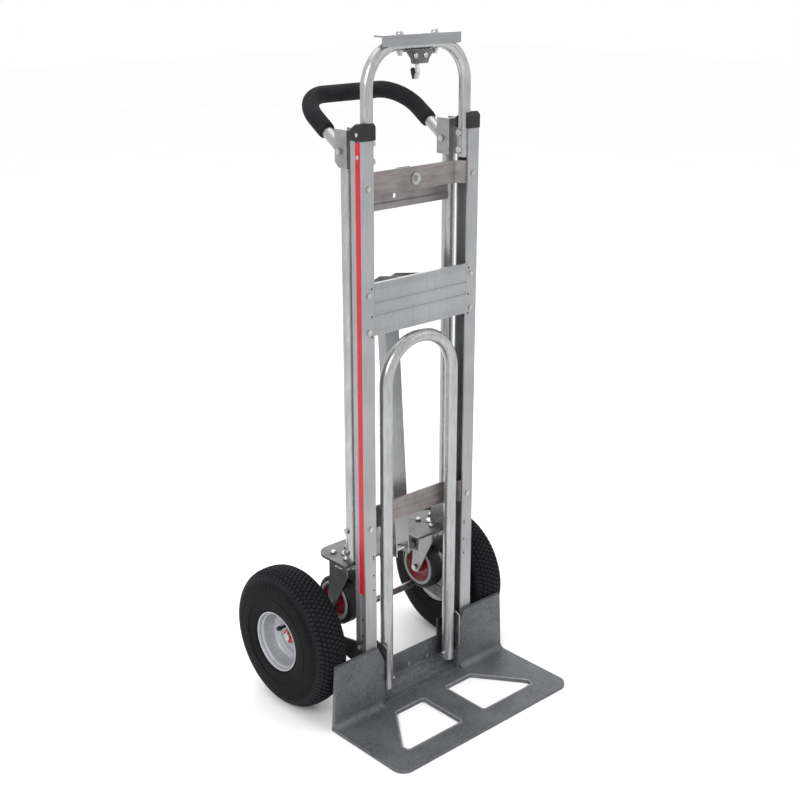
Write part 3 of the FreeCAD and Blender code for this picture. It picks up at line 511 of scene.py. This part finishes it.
def caster_swivel_details(side):
    """Ball race on top of a caster's fork, and the skirt below it."""
    low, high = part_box(side + "_caster_fork")
    top = Vector(((low[0] + high[0]) / 2, low[1] + 24 * MM, high[2]))
    race = turned(side + "_swivel_race", top, "Z", [
        (0.2 * MM, 20 * MM), (0.2 * MM, 27 * MM), (0.9 * MM, 28.5 * MM), (1.5 * MM, 27 * MM),
        (1.5 * MM, 20 * MM)], FINISH["zinc"], 64)
    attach(race, side + "_caster_swivel")
    skirt = turned(side + "_swivel_skirt", top, "Z", [
        (-4.2 * MM, 22 * MM), (-8 * MM, 25.5 * MM), (-9 * MM, 24.5 * MM), (-5.2 * MM, 20 * MM)],
        FINISH["zinc"], 64)
    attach(skirt, side + "_caster_swivel")


for side, _ in SIDES:
    caster_rings(side)
    caster_swivel_details(side)


def valve_cap(side, sign):
    low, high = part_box(side + "_valve_stem")
    x = high[0] if sign > 0 else low[0]
    centre = Vector((x, (low[1] + high[1]) / 2, (low[2] + high[2]) / 2))
    profile = [(0, 0.3), (0, 4.3), (-1, 4.6), (-8, 4.6), (-9, 4.2), (-9, 3.0)]
    cap = turned(side + "_valve_cap", centre, "X",
                 [(sign * (along + 1.5) * MM, radius * MM) for along, radius in profile],
                 FINISH["black_plastic"], 24)
    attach(cap, side + "_wheel")


for side, sign in SIDES:
    valve_cap(side, sign)


# ---------- painted shade of small holes, and screws ---

# Painted shade: near-black discs stand in for the shade inside small holes.
HOLE_SHADE = surface("hole_shadow", (0.010, 0.010, 0.010), (0.030, 0.030, 0.030), 300,
               rough=(0.7, 0.9), bump=0.1)
ZINC = FINISH["zinc"]


def dish(name, centre, facing, radius, height, mat, body):
    """Low domed screw head, or a dark disc of painted shade for a hole, facing along a vector."""
    turn = Vector((0, 0, 1)).rotation_difference(Vector(facing))
    around = 20
    rings = []
    for scale, rise in ((1.0, 0.0), (0.97, 0.55), (0.80, 0.86), (0.45, 1.0), (0.12, 1.0)):
        rings.append([Vector(centre) + turn @ Vector((
            radius * scale * math.cos(2 * math.pi * j / around),
            radius * scale * math.sin(2 * math.pi * j / around), height * rise))
            for j in range(around)])
    piece = skin(name, rings, mat, closed=False)
    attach(piece, body)


def rail_details(side, sign):
    """Dark discs of painted shade for the holes in a rail's front face and web, and the screws of its
    strip and cap.
    """
    out = (sign, 0, 0)
    for index, z in enumerate((0.872, 0.820, 0.782, 0.340, 0.335, 0.300, 0.268)):
        dish("%s_rail_hole_shade_%d" % (side, index), (sign * 0.1235, 0.0, z), (0, -1, 0),
             0.0021, 0.0002, HOLE_SHADE, "frame")
    dish(side + "_strip_screw", (sign * 0.1453, 0.0105, 1.108), out,
         0.0042, 0.0018, ZINC, "frame")
    dish(side + "_cap_screw", (sign * 0.1475, 0.0100, 1.147), out,
         0.0036, 0.0012, ZINC, "frame")
    for index, z in enumerate((0.205, 0.170)):
        dish("%s_web_hole_shade_%d" % (side, index), (sign * 0.1425, 0.0105, z), out,
             0.0028, 0.0002, HOLE_SHADE, "frame")


for side, sign in SIDES:
    rail_details(side, sign)


def slab(name, x0, x1, outline, mat, body):
    """Flat piece between two places across, with its outline in Y and Z, in millimetres."""
    rings = [[Vector((x, y, z)) * MM for y, z in outline] for x in (x0, x1)]
    piece = skin(name, rings, mat, closed=False, smooth=False)
    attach(piece, body)


slab("hook_dip", -3.6, 3.6, [
    (20.4, 1231.2), (23.9, 1231.3), (28.2, 1243.2), (23.6, 1245.8), (21.0, 1240.1), (19.6, 1239.6)],
    FINISH["black_plastic"], "hook")
for index, x in enumerate((-12, 12)):
    dish("hook_bracket_screw_%d" % index, (x * MM, 0.006, 1.273), (0, -1, 0),
         0.0052, 0.003, ZINC, "frame")


def deck_fasteners(side, sign):
    """Nuts and kingpin dome of a caster on top of the deck plate."""
    for index, (x, y) in enumerate(((98, 70), (134, 70), (98, 110), (134, 110))):
        dish("%s_deck_nut_%d" % (side, index), (sign * x * MM, y * MM, 0.313), (0, 0, 1),
             0.0066, 0.0055, ZINC, "handle")
    dish(side + "_deck_dome", (sign * 0.116, 0.090, 0.313), (0, 0, 1),
         0.0125, 0.004, ZINC, "handle")


for side, sign in SIDES:
    deck_fasteners(side, sign)


# ---------- panel ribs, bracket edges and nose plate details ----------

for index, z in enumerate((786, 789, 792, 795, 818.5, 826, 842, 849.5, 869, 872, 875, 878)):
    slab("panel_rib_%d" % index, -116, 116, [
        (-0.35, z - 0.5), (0.05, z - 0.8), (0.05, z + 0.8), (-0.35, z + 0.5)],
        FINISH["rail"], "frame")


def extension_edge(side, sign):
    """Bent edge along the front of a bracket beside the nose extension's leg."""
    near, far = sorted((sign * 99.3, sign * 102.9))
    slab(side + "_extension_edge", near, far, [
        (-2.4, 35), (-2.4, 50), (-13.9, 66), (-13.9, 135.2), (-1.6, 141.4), (12, 141.4),
        (12, 140.6), (-1.4, 140.6), (-13.1, 134.8), (-13.1, 66.2), (-1.6, 50.2), (-1.6, 35)],
        FINISH["plate"], "frame")


def wing_fillet(side, sign):
    """Hollow fillet between a wing of the nose plate and the plate itself."""
    near, far = sorted((sign * 110.2, sign * 235))
    slab(side + "_wing_fillet", near, far, [
        (-8.3, 6.9), (-8.3, 20), (-9.2, 15.5), (-11, 12.2), (-13.8, 9.6), (-17.4, 7.8), (-22, 6.9)],
        FINISH["cast"], "frame")


for side, sign in SIDES:
    extension_edge(side, sign)
    wing_fillet(side, sign)


def rounded_path(corners, radius):
    """Closed path through corners, each rounded by a radius."""
    steps = 6
    path = []
    count = len(corners)
    for i in range(count):
        before, here, after = (Vector(corners[(i + k) % count]) for k in (-1, 0, 1))
        inward, onward = (before - here).normalized(), (after - here).normalized()
        reach = radius / math.tan(inward.angle(onward) / 2)
        start, end = here + inward * reach, here + onward * reach
        for k in range(steps + 1):
            s = k / steps
            path.append((1 - s) ** 2 * start + 2 * s * (1 - s) * here + s ** 2 * end)
    return path


def bead(name, corners, radius, mat, height):
    """Low rounded bead along a closed outline of rounded corners."""
    section = ((-2.2, -0.2), (-1.6, 0.7), (-0.5, 1.2), (0.5, 1.2), (1.6, 0.7), (2.2, -0.2))
    path = rounded_path(corners, radius)
    rings = []
    for i, place in enumerate(path):
        along = (path[(i + 1) % len(path)] - path[i - 1]).normalized()
        aside = Vector((-along.y, along.x))
        ring = []
        for out, rise in section:
            spot = place + aside * out
            ring.append(Vector((spot.x, spot.y, height + rise)) * MM)
        rings.append(ring)
    piece = skin(name, rings, mat)
    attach(piece, "frame")


# Beads round the holes, in the lighter cast colour: edge wear and a painted highlight.
for side, sign in SIDES:
    bead(side + "_hole_bead", [(sign * x, y) for x, y in (
        (29.6, -42.6), (106.4, -42.6), (178.6, -140.6), (176, -157.4), (29.6, -157.4))],
        9, FINISH["cast_edge"], 7)


# ---------- floor, light and camera ----------

def floor():
    bm = bmesh.new()
    bmesh.ops.create_grid(bm, x_segments=8, y_segments=8, size=14)
    mat = surface("floor_white", (0.975, 0.975, 0.975), (0.995, 0.995, 0.995), 2,
                  rough=(0.6, 0.7), bump=0.01)
    obj = new_object("floor", bm, mat)
    obj.location.z = -0.0004


floor()


def area(name, place, target, size, power):
    """Rectangular light aimed at a target."""
    data = bpy.data.lights.new(name, "AREA")
    data.shape = "RECTANGLE"
    data.size, data.size_y = size
    data.energy = power
    obj = bpy.data.objects.new(name, data)
    bpy.context.scene.collection.objects.link(obj)
    obj.location = place
    aim = Vector(target) - Vector(place)
    obj.rotation_euler = aim.to_track_quat("-Z", "Y").to_euler()


area("key", (-2.8, -1.2, 2.6), (0, 0, 0.7), (1.2, 1.8), 52)
area("fill", (2.4, -2.6, 2.2), (0, 0, 0.6), (2.2, 2.2), 12)
area("top", (0.2, 0.8, 3.6), (0, 0, 0.4), (2.6, 2.6), 34)
area("rim", (2.0, 2.4, 2.4), (0, 0, 0.7), (1.4, 2.0), 18)

bpy.context.scene.view_settings.view_transform = "Standard"
world = bpy.data.worlds.new("studio")
bpy.context.scene.world = world
world.use_nodes = True
back = world.node_tree.nodes["Background"]
back.inputs["Color"].default_value = (1, 1, 1, 1)
back.inputs["Strength"].default_value = 1.0

camera = bpy.data.cameras.new("camera")
camera.sensor_width = 36
camera.lens = 58.38
view = bpy.data.objects.new("camera", camera)
bpy.context.scene.collection.objects.link(view)
view.location = (-1.6161, -1.7065, 1.4527)
view.rotation_euler = (math.radians(90 - 19.25), 0, -0.741)
bpy.context.scene.camera = view
